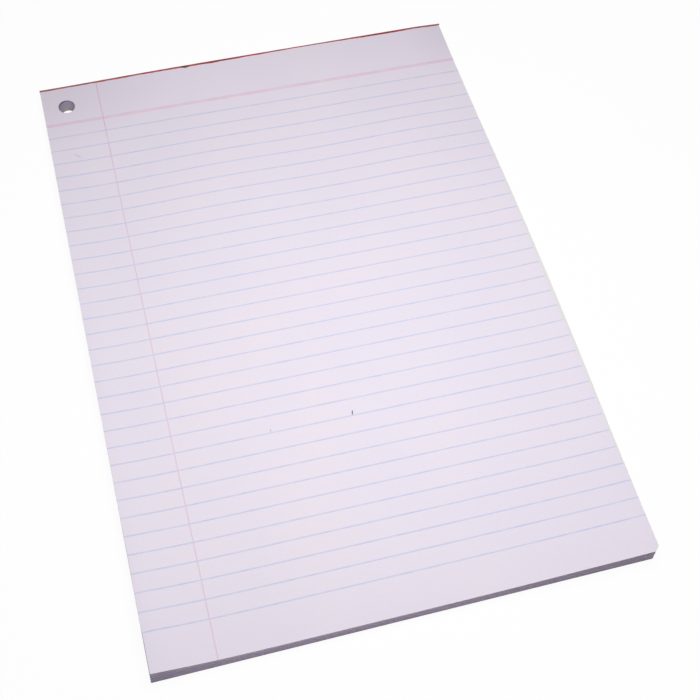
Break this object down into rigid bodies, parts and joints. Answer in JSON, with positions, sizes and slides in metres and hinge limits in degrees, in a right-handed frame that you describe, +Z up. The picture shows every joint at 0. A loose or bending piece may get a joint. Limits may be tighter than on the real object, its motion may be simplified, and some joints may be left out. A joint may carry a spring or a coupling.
{
  "type": "exam pad",
  "caption": "Gummed pad of ruled writing sheets with a pink margin and head rule, glued along the head onto a stiff backing board and punched with one filing hole.",
  "frame": {"origin": "on the underside of the backing board, under the middle of the top sheet", "axes": "+X across the sheet to the right, +Y along the sheet to the glued head, +Z up out of the ruled face"},
  "size_m": [0.212, 0.2979, 0.0109],
  "materials": {
    "sheet_paper": "matt writing paper",
    "grey_board": "rough greyboard",
    "red_gum": "satin padding gum",
    "blue_ink": "matt feint ink on paper",
    "pink_ink": "matt pink ink on paper"
  },
  "bodies": {
    "root": {"ruled_sheets": "sheet_paper", "backing_board": "grey_board", "gum_binding": "red_gum", "blue_rules": "blue_ink", "head_rule": "pink_ink", "margin_rule": "pink_ink"}
  },
  "joints": []
}
